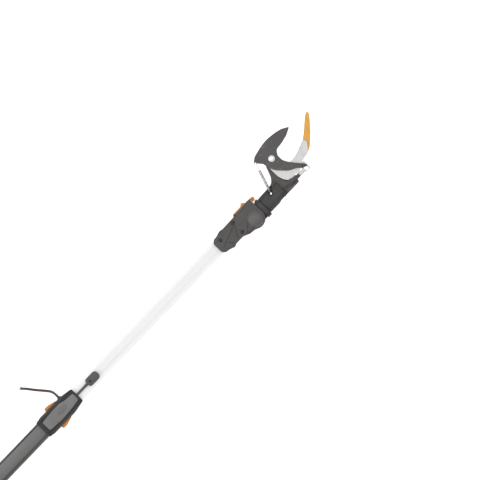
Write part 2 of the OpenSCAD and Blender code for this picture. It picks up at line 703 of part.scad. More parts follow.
bolt_head_r = 6;
module pivot_bolt() {
    color("white") at_pivot() {
        rod_z([0, 0], frame_z - 5, blade_top + slide_gap + eps, pivot_r);
        intersection() {
            rod_z([0, 0], blade_top + slide_gap, blade_top + slide_gap + 2.5, bolt_head_r);
            translate([0, 0, blade_top + slide_gap + 2.5 - 14]) sphere(r = 14);
        }
    }
}
module pivot_nut() {
    color("silver") at_pivot() difference() {
        union() {
            translate([0, 0, frame_z - 4.5]) cylinder(h = 3.7, r = 7.2, $fn = 6);
            rod_z([0, 0], frame_z - 1, frame_z, 8);
        }
        rod_z([0, 0], -big, big, pivot_r + seat_gap);
    }
}

// ---- Moving blade and its drive ----

blade_plan = soft(concat(
    [[-28.5, 17, 1.5], [-20, 24, 12], [-2, 28.3, 60], [16, 30.8, 60], [37, 28.3, 40], [50, 25, 20],
        [63.5, 17, 1.5], [50, 10.3, 20], [34, 6.5, 20], [18, 5, 8], [11.5, -4, 12], [11.5, -16, 16],
        [18.5, -28.5, 20]],
    [[29.5, -42.5, 3], [37, -52.5, 3], [35.5, -55.5, 0.8], [26.5, -52, 4]],
    [[20, -45, 12], [6, -37.5, 20], [-9.5, -20.5, 30], [-16, -8, 16], [-17.3, 4, 8], [-24, 12, 8]]));
module blade() {
    color("#4b4846") at_pivot() difference() {
        slab(blade_plan, blade_z, blade_top);
        rod_z([0, 0], -big, big, pivot_r + run_gap);
        rod_z(drive_pin_at, -big, big, drive_pin_r + seat_gap);
        rod_z(tail_at, -big, big, tail_pin_r + seat_gap);
    }
}
module drive_pin() {
    color("silver") at_pivot() {
        rod_z(drive_pin_at, yoke_z - 0.1, blade_top + eps, drive_pin_r);
        rod_z(drive_pin_at, blade_top, blade_top + 1, drive_pin_r + 1.2);
    }
}
tail_pin_r = 1.4;
module tail_pin() {
    color("silver") at_pivot() {
        rod_z(tail_at, spring_z - 3, blade_top + 0.5, tail_pin_r);
        rod_z(tail_at, spring_z - 3.8, spring_z - 2 - slide_gap, tail_pin_r + 1);
    }
}
yoke_play = 1.3;
module pull_yoke() {
    x = pivot.x + drive_pin_at.x;
    color("silver") at_head() difference() {
        union() {
            slab(soft([[x - yoke_w / 2, yoke_y[0], 3], [x + yoke_w / 2, yoke_y[0], 3],
                [x + yoke_w / 2, yoke_y[1], 3], [x - yoke_w / 2, yoke_y[1], 3]]), yoke_z, yoke_z + yoke_t);
            slab([[rod_end_x, rod_y - rod_h / 2], [x, rod_y - rod_h / 2], [x, rod_y + rod_h / 2],
                [rod_end_x, rod_y + rod_h / 2]], yoke_z, yoke_z + yoke_t);
        }
        translate([x - drive_pin_r - yoke_play, pivot.y - drive_r - drive_pin_r - 0.6, -big])
            cube([2 * (drive_pin_r + yoke_play), drive_r + drive_pin_at.y + 2 * drive_pin_r + 1.2, 2 * big]);
        translate([rod_end_x - 1, rod_y - strap_t / 2, -big]) cube([9, strap_t, 2 * big]);
    }
}
module head_strap() {
    // From the roller's top to the slot in the pull rod
    x1 = rod_end_x;
    x0 = tilt.x + 26;
    y0 = -5;
    run = norm([x1 - x0, rod_y - y0]);
    color("gainsboro") at_head() {
        translate([x0, y0, strap_z - strap_w / 2]) rotate([0, 0, atan2(rod_y - y0, x1 - x0)])
            translate([0, -strap_t / 2, 0]) cube([run, strap_t, strap_w]);
    }
}

// ---- Return spring: a coil from the neck and a hook rod from the blade's tail ----

coil_len = 40;
rod_wire_r = 0.7;
module along_spring() {
    at_head() translate([anchor.x, anchor.y, spring_z]) rotate([0, 0, spring_dir]) children();
}
module spring_coil() {
    color("silver") along_spring() {
        difference() {
            rod_x(coil_start, coil_start + coil_len, spring_r);
            rod_x(coil_start + 2, coil_start + coil_len + 1, spring_r - 0.8);
            for (i = [0:11])
                ring_x(coil_start + 3 + i * 3, coil_start + 4 + i * 3, spring_r + 1, spring_r - 0.4);
        }
        difference() {
            union() {
                rod_z([0, 0], -1.2, 1.2, anchor_r + 1.4);
                rod_x(2.5, coil_start + 1, 1.2);
            }
            rod_z([0, 0], -big, big, anchor_r + run_gap);
        }
    }
}
module spring_anchor() {
    color("silver") at_head() rod_z(anchor, frame_top - 3, neck_front_z - 2, anchor_r);
}
module spring_rod() {
    color("silver") along_spring() difference() {
        union() {
            rod_x(spring_len - 42, spring_len - 2, rod_wire_r);
            rod_z([spring_len, 0], -1.2, 1.2, tail_pin_r + 1.3);
        }
        rod_z([spring_len, 0], -big, big, tail_pin_r + run_gap);
    }
}

outer_tube();
butt_plug();
pull_ball();
pull_strap();
hand_grip();
grip_ring_1();
grip_ring_2();
collar_front();
collar_back();
collar_panel_front();
collar_panel_back();
collar_liner();
collar_band();
button_upper();
button_lower();
collar_screw_1();
collar_screw_2();
cord();
cord_gland();
stop_knob();
inner_tube();
inner_bush();
inner_strap();
strap_cleat();
housing_front();
housing_back();
housing_screw_1();
housing_screw_2();
housing_screw_3();
tilt_bolt();
tilt_nut();
lock_lever();
lever_pin();
knuckle();
strap_roller();
neck_back();
neck_front();
guide_plate();
neck_rivet_1();
neck_rivet_2();
neck_rivet_3();
neck_rivet_4();
hook_plate();
hook_tip();
hook_rivet_1();
hook_rivet_2();
pivot_bolt();
pivot_nut();
blade();
drive_pin();
tail_pin();
pull_yoke();
head_strap();
spring_coil();
spring_anchor();
spring_rod();
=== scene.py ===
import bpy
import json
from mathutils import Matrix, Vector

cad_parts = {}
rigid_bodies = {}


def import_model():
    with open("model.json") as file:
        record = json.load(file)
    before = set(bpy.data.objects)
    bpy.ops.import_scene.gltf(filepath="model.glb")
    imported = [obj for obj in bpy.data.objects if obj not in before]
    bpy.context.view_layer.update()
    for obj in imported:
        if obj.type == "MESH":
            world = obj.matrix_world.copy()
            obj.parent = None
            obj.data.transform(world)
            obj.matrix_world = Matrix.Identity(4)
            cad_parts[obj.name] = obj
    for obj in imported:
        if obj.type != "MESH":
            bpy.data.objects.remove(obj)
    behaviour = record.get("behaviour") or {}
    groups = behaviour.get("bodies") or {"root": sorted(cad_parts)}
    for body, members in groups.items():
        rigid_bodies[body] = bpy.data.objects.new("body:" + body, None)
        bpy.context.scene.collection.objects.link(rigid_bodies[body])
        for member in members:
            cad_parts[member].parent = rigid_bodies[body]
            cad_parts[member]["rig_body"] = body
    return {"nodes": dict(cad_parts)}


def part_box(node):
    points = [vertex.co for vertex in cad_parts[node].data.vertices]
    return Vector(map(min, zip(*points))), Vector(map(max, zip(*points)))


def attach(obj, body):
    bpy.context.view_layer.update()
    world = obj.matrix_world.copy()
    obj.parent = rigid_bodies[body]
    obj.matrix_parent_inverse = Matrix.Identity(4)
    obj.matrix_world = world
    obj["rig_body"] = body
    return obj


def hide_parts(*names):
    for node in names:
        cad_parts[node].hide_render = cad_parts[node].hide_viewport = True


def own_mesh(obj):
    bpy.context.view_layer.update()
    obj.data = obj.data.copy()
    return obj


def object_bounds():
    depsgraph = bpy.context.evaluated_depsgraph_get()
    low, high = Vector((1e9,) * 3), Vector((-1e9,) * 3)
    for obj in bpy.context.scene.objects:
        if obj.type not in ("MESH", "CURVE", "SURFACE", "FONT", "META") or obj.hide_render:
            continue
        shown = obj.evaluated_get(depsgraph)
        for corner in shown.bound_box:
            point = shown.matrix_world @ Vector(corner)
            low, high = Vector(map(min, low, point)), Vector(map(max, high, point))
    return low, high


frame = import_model()
CAD_BOX = [list(corner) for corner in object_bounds()]

import json
import math
import bmesh
import bpy
from bpy.props import FloatProperty, FloatVectorProperty, PointerProperty
from mathutils import Matrix, Vector

bl_info = {
    "name": "Telescoping tree pruner",
    "version": (1, 0, 0),
    "blender": (4, 5, 0),
    "location": "3D View > Sidebar > Pruner",
    "description": "Dresses a telescoping pole pruner with shaped pieces and procedural finishes",
    "category": "Add Mesh",
}

MM = 0.001
MERGE = 0.02 * MM  # vertices closer than this are one
STRAP_EDGE_MIN = 20 * MM  # only edges longer than this run along a strap
STRAP_EDGE_ROUND = 0.35 * MM
COIL_TURNS, COIL_STEPS = 36, 10
COIL_START, COIL_RUN = 7 * MM, 40 * MM  # from the spring's eye
COIL_RADIUS = 3 * MM
EYE_RADIUS = 2.6 * MM
CAP_SIZE = (15 * MM, 15 * MM, 3.4 * MM, 1)  # half sizes of the joint's domed cap
MOTIF_WIDTH = 1.3 * MM
RIB = (1.1 * MM, 0.9 * MM, 9 * MM)  # one rib of a thumb pad
BALL_RINGS = (-0.5, -0.25, 0.0, 0.25, 0.5)  # places along the pull ball, in radii
GROUND_GAP = 0.2 * MM
FLOOR_HALF = 9
ROD_BARE_FROM = 197 * MM  # past the housing's lower end the pull rod is bare steel
FLANK_SHADE_FROM, FLANK_SHADE_TO = 11.8 * MM, 13.4 * MM  # where painted shade on the upper tube's sides starts and becomes full
NODES = frame["nodes"]
BODY_OF = {name: node["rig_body"] for name, node in NODES.items()}
HEAD_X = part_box("housing_front")[0].x
COLLAR_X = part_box("collar_band")[0].x
PANEL_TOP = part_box("collar_panel_front")[1].z
HOUSING_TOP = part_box("housing_front")[1].z


def middle(node):
    low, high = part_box(node)
    return (low + high) / 2


TILT = middle("tilt_bolt")


# ---- Sizes and colours that a user would change ----

def tint(label, default, note):
    return FloatVectorProperty(name=label, description=note, default=default, size=3, min=0, max=1,
                               subtype="COLOR")


def length(label, default, note):
    return FloatProperty(name=label, description=note, default=default, min=0, unit="LENGTH")


class PrunerPoleSettings(bpy.types.PropertyGroup):
    tube_colour: tint("Lower tube", (0.008, 0.007, 0.007), "Colour of the anodised lower tube")
    # The tube-faces colour is a painted highlight: the reflection of an overhead light on the lower tube.
    highlight_band_colour: tint("Tube faces", (0.185, 0.183, 0.18), "Colour of the lower tube's broad faces")
    sleeve_colour: tint("Upper tube", (0.93, 0.93, 0.925), "Colour of the painted upper tube")
    grip_colour: tint("Hand grip", (0.035, 0.035, 0.035), "Colour of the soft hand grip")
    cord_colour: tint("Cord", (0.085, 0.066, 0.058), "Colour of the braided cord")
    cord_diameter: length("Cord diameter", 4.6 * MM, "Diameter of the braided cord")


class PrunerShellSettings(bpy.types.PropertyGroup):
    shell_colour: tint("Shell", (0.078, 0.073, 0.071), "Colour of the moulded housing")
    collar_colour: tint("Collar", (0.018, 0.017, 0.017), "Colour of the moulded collar")
    panel_colour: tint("Panel", (0.19, 0.185, 0.185), "Colour of the collar's raised panels")
    accent_colour: tint("Controls", (0.80, 0.27, 0.025), "Colour of the buttons, lever and pull ball")
    edge_round: length("Edge rounding", 0.7 * MM, "Rounding of the moulded edges")


class PrunerHeadSettings(bpy.types.PropertyGroup):
    steel_colour: tint("Hook steel", (0.53, 0.52, 0.51), "Colour of the ground hook")
    blade_colour: tint("Blade coating", (0.052, 0.046, 0.046), "Colour of the blade's coating")
    tip_colour: tint("Hook tip", (0.80, 0.39, 0.035), "Colour of the hook's coated tip")
    casting_colour: tint("Castings", (0.026, 0.024, 0.023), "Colour of the knuckle and neck")
    blade_chamfer: length("Blade chamfer", 0.9 * MM, "Width of the ground edge on the blade")
    coil_wire: length("Spring wire", 0.8 * MM, "Diameter of the return spring's wire")


class PrunerStageSettings(bpy.types.PropertyGroup):
    floor_colour: tint("Floor", (0.93, 0.93, 0.93), "Colour of the floor")
    view_width: length("View width", 0.864, "Width of the area that the camera sees")
    camera_height: length("Camera height", 12, "Height of the camera above the object")
    key_power: FloatProperty(name="Key power", description="Power of the large soft light",
                             default=44, unit="POWER")


def settings(group):
    return getattr(bpy.context.scene, "pruner_" + group)


# ---- Shader maths and finishes ----

class Signal:
    """One output of a node, with arithmetic that adds Math nodes."""

    def __init__(self, finish, socket):
        self.finish, self.socket = finish, socket

    def maths(self, operation, first, second=0.0):
        return self.finish.node("ShaderNodeMath", {"operation": operation}, {0: first, 1: second})

    def __add__(self, other):
        return self.maths("ADD", self, other)

    def __sub__(self, other):
        return self.maths("SUBTRACT", self, other)

    def __rsub__(self, other):
        return self.maths("SUBTRACT", other, self)

    def __mul__(self, other):
        return self.maths("MULTIPLY", self, other)

    def sine(self):
        return self.maths("SINE", self)

    def clear(self, low, high):
        """0 below low, 1 above high and a smooth ramp between."""
        return self.finish.node("ShaderNodeMapRange", {"interpolation_type": "SMOOTHSTEP"},
                                {0: self, 1: low, 2: high, 3: 0.0, 4: 1.0})

    __radd__ = __add__
    __rmul__ = __mul__


class Finish:
    """A Principled material whose changing values are wired by feed()."""

    def __init__(self, name, **constants):
        self.material = bpy.data.materials.new(name)
        self.material.use_nodes = True
        self.tree = self.material.node_tree
        self.shader = self.tree.nodes["Principled BSDF"]
        for socket, value in constants.items():
            self.shader.inputs[socket.replace("_", " ")].default_value = value
        self.place = self.node("ShaderNodeTexCoord", {}, {}, "Object")

    def node(self, kind, choices, values, output=0):
        made = self.tree.nodes.new(kind)
        for key, value in choices.items():
            setattr(made, key, value)
        for key, value in values.items():
            if isinstance(value, Signal):
                self.tree.links.new(value.socket, made.inputs[key])
            else:
                made.inputs[key].default_value = value
        return Signal(self, made.outputs[output])

    def axis(self, letter, source=None):
        return self.node("ShaderNodeSeparateXYZ", {}, {0: source or self.place}, letter)

    def noise(self, scale, detail=3.0, stretch=(1, 1, 1), turn=0.0):
        placed = self.node("ShaderNodeMapping", {},
                           {"Vector": self.place, "Scale": stretch, "Rotation": (0, 0, turn)})
        return self.node("ShaderNodeTexNoise", {}, {"Vector": placed, "Scale": scale, "Detail": detail})

    def cells(self, scale):
        return self.node("ShaderNodeTexVoronoi", {}, {"Vector": self.place, "Scale": scale})

    def mix(self, mask, first, second):
        return self.node("ShaderNodeMix", {"data_type": "RGBA"}, {0: mask, 6: first, 7: second}, 2)

    def bump(self, height, depth, strength=1.0):
        return self.node("ShaderNodeBump", {}, {"Height": height, "Distance": depth, "Strength": strength})

    def feed(self, **signals):
        for socket, signal in signals.items():
            self.tree.links.new(signal.socket, self.shader.inputs[socket.replace("_", " ")])
        return self.material


def rgba(colour, scale=1.0):
    """That colour, made lighter or darker, with full opacity."""
    return tuple(min(1.0, channel * scale) for channel in colour) + (1.0,)


def toward(colour, other, share):
    """A colour that share of the way from one to another."""
    return tuple(a + (b - a) * share for a, b in zip(colour, other))


DUST = (0.42, 0.38, 0.33)
RUBBED = (0.6, 0.6, 0.6)
WATER_STAIN = (0.5, 0.47, 0.43)
BARE_STEEL = (0.5, 0.48, 0.46)
CORD_FLECK = (0.22, 0.17, 0.12)


def moulded(name, colour, roughness=0.5, grain=1400, depth=0.05 * MM, dust=0.05):
    """Moulded plastic: a fine texture, slow colour drift and a trace of dust."""
    finish = Finish(name, Specular_IOR_Level=0.45)
    drift = finish.noise(28, 2.0).clear(0.3, 0.7)
    speck = finish.noise(grain, 2.0)
    settled = finish.noise(140, 4.0).clear(0.56, 0.75)
    tone = finish.mix(drift, rgba(colour, 0.86), rgba(colour, 1.14))
    tone = finish.mix(speck.clear(0.35, 0.65) * 0.35, tone, rgba(colour, 0.72))
    tone = finish.mix(settled * dust, tone, rgba(DUST))
    return finish.feed(Base_Color=tone, Roughness=roughness + (drift - 0.5) * 0.12 + settled * 0.08,
                       Normal=finish.bump(speck, depth, 0.6))


def soft_rubber(name, colour):
    """Soft grip rubber with a fine moulded diamond pattern round the pole."""
    finish = Finish(name, Specular_IOR_Level=0.3)
    along, up, side = finish.axis("X"), finish.axis("Z"), finish.axis("Y")
    lattice = (along * 1400 + up * 1400).sine() * (along * 1400 - up * 1400 + side * 200).sine()
    worn = finish.noise(45, 3.0).clear(0.45, 0.75)
    tone = finish.mix(lattice.clear(-0.2, 0.6), rgba(colour, 0.7), rgba(colour, 1.25))
    tone = finish.mix(worn * 0.25, tone, rgba(toward(colour, DUST, 0.3)))
    return finish.feed(Base_Color=tone, Roughness=0.78 - worn * 0.12,
                       Normal=finish.bump(lattice, 0.12 * MM, 0.7))


def white_tube_with_painted_shade(name, colour):
    """White painted upper tube: fine lengthwise drawing lines, rub marks, and painted shade that greys its
    flanks.
    """
    finish = Finish(name, Coat_Roughness=0.25, Coat_Weight=0.3, Specular_IOR_Level=0.4)
    lines = finish.noise(60, 5.0, (0.25, 14, 14))
    rubs = finish.noise(16, 6.0, (0.5, 9, 9)).clear(0.6, 0.74)
    drift = finish.noise(5, 2.0)
    side = finish.axis("Y")
    # Painted shade: both sides of the tube are greyed as if shaded.
    flank_shade = side.clear(FLANK_SHADE_FROM, FLANK_SHADE_TO) + (1 - side.clear(-FLANK_SHADE_TO, -FLANK_SHADE_FROM))
    tone = finish.mix(lines.clear(0.35, 0.65) * 0.25, rgba(colour), rgba(colour, 0.9))
    tone = finish.mix(rubs * 0.1, tone, rgba(RUBBED))
    tone = finish.mix(flank_shade, tone, rgba(colour, 0.66))
    return finish.feed(Base_Color=tone, Roughness=0.4 + (drift - 0.5) * 0.1 + rubs * 0.06,
                       Normal=finish.bump(lines, 0.02 * MM, 0.5))


def tube_with_painted_highlight(name, edge, face):
    """Anodised lower tube, near-black, with a lighter brushed band along its broad faces that is a painted
    reflection of an overhead light; the band is painted darker towards one side, and the edge on that side is
    painted lighter.
    """
    finish = Finish(name, Specular_IOR_Level=0.3)
    side = finish.axis("Y")
    # Painted highlight: this band stands for the reflection of an overhead light.
    highlight_band = side.clear(-10.5 * MM, -7 * MM) * (1 - side.clear(11.5 * MM, 12.5 * MM))
    lines = finish.noise(60, 5.0, (0.25, 14, 14))
    rubs = finish.noise(16, 6.0, (0.5, 9, 9)).clear(0.6, 0.74)
    drift = finish.noise(5, 2.0)
    # Painted shading across the band, darker towards one side.
    shade = finish.mix(side.clear(-9 * MM, 9 * MM), rgba(face, 0.9), rgba(face, 1.08))
    # The near-black edge is the tube's own colour; the lighter edge on one side is painted light.
    rim_with_painted_light = finish.mix(side.clear(-4 * MM, 4 * MM), rgba(toward(edge, face, 0.22)), rgba(edge))
    tone = finish.mix(highlight_band, rim_with_painted_light, shade)
    tone = finish.mix(lines.clear(0.35, 0.65) * 0.3, tone, rgba(face, 0.5))
    tone = finish.mix(rubs * 0.12, tone, rgba(face, 1.6))
    return finish.feed(Base_Color=tone, Roughness=0.5 + (drift - 0.5) * 0.1 + rubs * 0.06,
                       Normal=finish.bump(lines, 0.02 * MM, 0.5))


def ground_steel(name, colour, roughness=0.34, turn=0.9, metallic=0.45):
    """Steel ground in one direction, with faint water stains."""
    finish = Finish(name, Metallic=metallic, Specular_IOR_Level=0.6)
    lines = finish.noise(120, 4.0, (1, 22, 4), turn)
    stains = finish.noise(70, 4.0).clear(0.58, 0.72)
    tone = finish.mix(lines.clear(0.3, 0.7), rgba(colour, 0.86), rgba(colour, 1.06))
    tone = finish.mix(stains * 0.25, tone, rgba(WATER_STAIN))
    return finish.feed(Base_Color=tone, Roughness=roughness + (lines - 0.5) * 0.15 + stains * 0.1,
                       Normal=finish.bump(lines, 0.03 * MM, 0.6))


def rod_finish(name, colour, coating):
    """Pull rod: coated black up to the end of its guide, with a ground steel yoke beyond."""
    finish = Finish(name, Specular_IOR_Level=0.6)
    lines = finish.noise(120, 4.0, (1, 22, 4), 0.3)
    bare = finish.axis("X").clear(HEAD_X + ROD_BARE_FROM, HEAD_X + ROD_BARE_FROM + 2 * MM)
    ground = finish.mix(lines.clear(0.3, 0.7), rgba(colour, 0.86), rgba(colour, 1.06))
    tone = finish.mix(bare, rgba(coating), ground)
    return finish.feed(Base_Color=tone, Metallic=bare * 0.6, Roughness=0.38 + (lines - 0.5) * 0.15,
                       Normal=finish.bump(lines, 0.03 * MM, 0.6))


def zinc_plate(name, colour=(0.66, 0.66, 0.67)):
    """Bright zinc plating with its mottled grain."""
    finish = Finish(name, Metallic=0.9)
    grain = finish.cells(900)
    cloud = finish.noise(220, 3.0)
    tone = finish.mix(cloud.clear(0.35, 0.65), rgba(colour, 0.8), rgba(colour, 1.1))
    return finish.feed(Base_Color=tone, Roughness=0.3 + grain * 0.15,
                       Normal=finish.bump(grain, 0.02 * MM, 0.4))


def baked_coating(name, colour, roughness, wear=BARE_STEEL, amount=0.3):
    """Baked coating: orange-peel surface, small scuffs that show the steel."""
    finish = Finish(name, Specular_IOR_Level=0.5)
    peel = finish.noise(700, 2.0)
    scuff = finish.noise(90, 7.0, (1, 5, 1), 0.7).clear(0.62, 0.72)
    drift = finish.noise(40, 2.0).clear(0.3, 0.7)
    tone = finish.mix(drift, rgba(colour, 0.88), rgba(colour, 1.12))
    tone = finish.mix(scuff * amount, tone, rgba(wear))
    return finish.feed(Base_Color=tone, Roughness=roughness + scuff * 0.12 + (peel - 0.5) * 0.08,
                       Metallic=scuff * amount, Normal=finish.bump(peel, 0.04 * MM, 0.5))


def webbing(name, colour=(0.78, 0.76, 0.70)):
    """Flat woven strap: crossing threads a millimetre apart."""
    finish = Finish(name, Specular_IOR_Level=0.25, Sheen_Weight=0.3)
    warp = (finish.axis("Z") * 6280).sine()
    weft = (finish.axis("X") * 5000).sine()
    threads = warp * weft
    fuzz = finish.noise(900, 2.0)
    tone = finish.mix(threads.clear(-0.6, 0.6), rgba(colour, 0.66), rgba(colour))
    tone = finish.mix(fuzz.clear(0.5, 0.8) * 0.3, tone, rgba(colour, 1.15))
    return finish.feed(Base_Color=tone, Roughness=0.8 + (fuzz - 0.5) * 0.1,
                       Normal=finish.bump(threads, 0.2 * MM, 0.8))


def braid(name, colour, threads=8, pitch=220):
    """Braided cord: two sets of yarns crossing round the cord, from its own UV map."""
    finish = Finish(name, Specular_IOR_Level=0.25, Sheen_Weight=0.25)
    surface = finish.node("ShaderNodeTexCoord", {}, {}, "UV")
    around = finish.axis("X", surface) * (threads * math.pi)
    along = finish.axis("Y", surface) * (pitch * math.pi)
    yarns = (around + along).sine() * (around - along).sine()
    fleck = finish.noise(320, 3.0).clear(0.5, 0.62)
    tone = finish.mix(yarns.clear(-0.5, 0.5), rgba(colour, 0.55), rgba(colour, 1.4))
    tone = finish.mix(fleck * 0.4, tone, rgba(CORD_FLECK))
    return finish.feed(Base_Color=tone, Roughness=0.86 - fleck * 0.06,
                       Normal=finish.bump(yarns, 0.35 * MM, 0.9))


# ---- Building with bmesh ----

def place(piece_name, bm, finishes, body, stands_for=(), crease=32):
    """Turns a bmesh into a finished piece that rides on a body."""
    mesh = bpy.data.meshes.new(piece_name)
    bm.to_mesh(mesh)
    bm.free()
    for finish in finishes:
        mesh.materials.append(finish)
    mesh.polygons.foreach_set("use_smooth", [True] * len(mesh.polygons))
    mesh.set_sharp_from_angle(angle=math.radians(crease))
    piece = bpy.data.objects.new(piece_name, mesh)
    bpy.context.scene.collection.objects.link(piece)
    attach(piece, body)
    if stands_for:
        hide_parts(*stands_for)
    return piece


def round_edges(bm, edges, width, segments=2):
    """Rounds those edges and gives the faces that this makes."""
    return bmesh.ops.bevel(bm, geom=edges, offset=width, offset_type="OFFSET", segments=segments,
                           profile=0.5, affect="EDGES", clamp_overlap=True, material=-1)["faces"]


def bent_edges(bm, angle):
    """The edges at which the surface turns by more than that many degrees."""
    limit = math.radians(angle)
    return [e for e in bm.edges if len(e.link_faces) == 2 and e.calc_face_angle(0) > limit]


def copied(node, flat_within):
    """A copy of a node's mesh with its flat faces merged."""
    bm = bmesh.new()
    bm.from_mesh(NODES[node].data)
    bmesh.ops.remove_doubles(bm, verts=bm.verts[:], dist=MERGE)
    bmesh.ops.dissolve_limit(bm, angle_limit=math.radians(flat_within),
                             verts=bm.verts[:], edges=bm.edges[:])
    return bm


def softened(node, piece_name, finishes, width, segments=2, angle=38):
    """A copy of a node with its sharp edges rounded. A second finish goes on the rounded edges."""
    bm = copied(node, 1.5)
    rounded = round_edges(bm, bent_edges(bm, angle), width, segments)
    if len(finishes) > 1:
        for face in rounded:
            face.material_index = 1
    return place(piece_name, bm, finishes, BODY_OF[node], (node,))


def block(bm, centre, size, turn=0.0):
    """A block of that size, turned about the vertical through its centre."""
    at = Matrix.Translation(centre) @ Matrix.Rotation(turn, 4, "Z") @ Matrix.Diagonal((*size, 1))
    bmesh.ops.create_cube(bm, size=1, matrix=at)


def bar(bm, start, end, width, z_low, z_high):
    """A straight bar between two points of the plan."""
    run = Vector(end) - Vector(start)
    centre = (Vector(start) + Vector(end)) / 2
    block(bm, (centre.x, centre.y, (z_low + z_high) / 2),
          (run.length + width, width, z_high - z_low), math.atan2(run.y, run.x))


def thumb_ribs(start, pitch, count, side, name, finish, body):
    """A row of small ribs that stand up from a thumb pad."""
    bm = bmesh.new()
    for step in range(count):
        block(bm, (start + pitch * step, side, 0), RIB)
    round_edges(bm, bm.edges[:], 0.2 * MM)
    place(name, bm, [finish], body)


def ring(bm, centre, radius, section, steps=48, axis=(0, 0, 1)):
    """A ring whose section is a small rounded square, spun about an axis through centre."""
    axis = Vector(axis)
    out = axis.orthogonal().normalized()
    tilt = Matrix((out, axis, out.cross(axis))).transposed().to_4x4()
    start = Matrix.Translation(Vector(centre) + out * radius) @ tilt
    edge = bmesh.ops.create_circle(bm, cap_ends=False, radius=section, segments=8, matrix=start)["verts"]
    edges = list({e for v in edge for e in v.link_edges})
    bmesh.ops.spin(bm, geom=edges, cent=centre, axis=axis, angle=math.tau, steps=steps, use_merge=True)


def smooth_path(points, steps):
    """Points on one smooth curve through the given ones."""
    points = [Vector(p) for p in points]
    last = len(points) - 1
    path = []
    for i in range(last):
        a, b, c, d = points[max(i - 1, 0)], points[i], points[i + 1], points[min(i + 2, last)]
        for k in range(steps):
            t = k / steps
            path.append(0.5 * (2 * b + (c - a) * t + (2 * a - 5 * b + 4 * c - d) * t * t
                               + (3 * b - a - 3 * c + d) * t ** 3))
    return path + [points[last]]


def tube_along(bm, path, radii, sides=12):
    """A closed tube along a path, with a UV map that runs round it and along it in metres."""
    uv = bm.loops.layers.uv.verify()
    side, travelled, rings = Vector((0, 0, 1)), 0.0, []
    for i, point in enumerate(path):
        ahead = (path[min(i + 1, len(path) - 1)] - path[max(i - 1, 0)]).normalized()
        side = (side - ahead * side.dot(ahead)).normalized()
        over = ahead.cross(side)
        travelled += (point - path[i - 1]).length if i else 0.0
        spin = Matrix((side, over, ahead)).transposed().to_4x4()
        ring_verts = bmesh.ops.create_circle(bm, cap_ends=False, radius=radii[i], segments=sides,
                                             matrix=Matrix.Translation(point) @ spin)["verts"]
        rings.append((ring_verts, travelled))
    for (low, start), (high, end) in zip(rings, rings[1:]):
        for k in range(sides):
            m = (k + 1) % sides
            face = bm.faces.new((low[k], low[m], high[m], high[k]))
            for loop, place_uv in zip(face.loops, ((k, start), (k + 1, start), (k + 1, end), (k, end))):
                loop[uv].uv = (place_uv[0] / sides, place_uv[1])
    bm.faces.new(list(reversed(rings[0][0])))
    bm.faces.new(rings[-1][0])
    bmesh.ops.recalc_face_normals(bm, faces=bm.faces[:])


def dress(finish, *nodes):
    """Gives carried-over nodes their finish."""
    for node in nodes:
        slots = NODES[node].data.materials
        slots.clear()
        slots.append(finish)


# ---- Stage, cord and straps ----

VIEW_CENTRE = Vector((2.3995, -0.0189, 0))
VIEW_TURN = math.radians(-46.2)
SENSOR = 36


class PRUNER_OT_stage(bpy.types.Operator):
    """Makes the floor, the soft studio light and the camera"""
    bl_idname = "pruner.stage"
    bl_label = "Stage"

    def execute(self, context):
        stage = settings("stage")
        camera = bpy.data.cameras.new("overhead")
        camera.sensor_width = SENSOR
        camera.lens = SENSOR * stage.camera_height / stage.view_width
        camera.clip_end = 3 * stage.camera_height
        holder = bpy.data.objects.new("overhead", camera)
        context.scene.collection.objects.link(holder)
        holder.location = VIEW_CENTRE + Vector((0, 0, stage.camera_height))
        holder.rotation_euler = (0, 0, VIEW_TURN)
        context.scene.camera = holder
        context.scene.view_settings.view_transform = "Standard"

        bm = bmesh.new()
        bmesh.ops.create_grid(bm, x_segments=2, y_segments=2, size=FLOOR_HALF,
                              matrix=Matrix.Translation((1.3, 0, CAD_BOX[0][2] - GROUND_GAP)))
        mesh = bpy.data.meshes.new("studio_floor")
        bm.to_mesh(mesh)
        bm.free()
        floor = bpy.data.objects.new("studio_floor", mesh)
        context.scene.collection.objects.link(floor)
        paper = Finish("floor_paper", Specular_IOR_Level=0.1, Emission_Strength=0.7)
        drift = paper.noise(0.6, 2.0)
        tone = paper.mix(drift, rgba(stage.floor_colour), rgba(stage.floor_colour, 1.02))
        mesh.materials.append(paper.feed(Base_Color=tone, Emission_Color=tone, Roughness=0.85 + drift * 0.05))

        def softbox(name, location, aim, width, depth, power):
            light = bpy.data.lights.new(name, "AREA")
            light.shape, light.size, light.size_y, light.energy = "RECTANGLE", width, depth, power
            lamp = bpy.data.objects.new(name, light)
            context.scene.collection.objects.link(lamp)
            lamp.location = location
            lamp.rotation_euler = (Vector(aim) - Vector(location)).to_track_quat("-Z", "Y").to_euler()

        softbox("key_softbox", (1.6, 0.5, 3.2), (1.5, 0, 0), 4.5, 1.6, stage.key_power)
        softbox("side_softbox", (1.4, -3.4, 1.8), (1.4, 0, 0), 4.5, 1.4, stage.key_power * 0.5)
        softbox("back_softbox", (1.4, 3.4, 1.6), (1.4, 0, 0), 4.5, 1.2, stage.key_power * 0.35)
        world = bpy.data.worlds.new("studio")
        world.use_nodes = True
        background = world.node_tree.nodes["Background"].inputs
        background["Color"].default_value = (1, 1, 1, 1)
        background["Strength"].default_value = 0.55
        context.scene.world = world
        return {"FINISHED"}


# The cord's route from its gland, in millimetres from the collar's lower end
CORD_ROUTE = ((61, 21, 0), (61, 23.5, 0), (61, 27.5, -3), (60.5, 31.5, -7.8), (59.5, 35.5, -13),
              (57.5, 39.5, -16.8), (54.5, 43.5, -18.8), (50.5, 48.5, -19.2), (46, 54, -19.2),
              (42, 59, -19.2), (38.5, 63.5, -19.2), (35.3, 68, -19.2), (32.2, 72.2, -19.2),
              (29, 76, -19.2), (26, 79.5, -19.2))
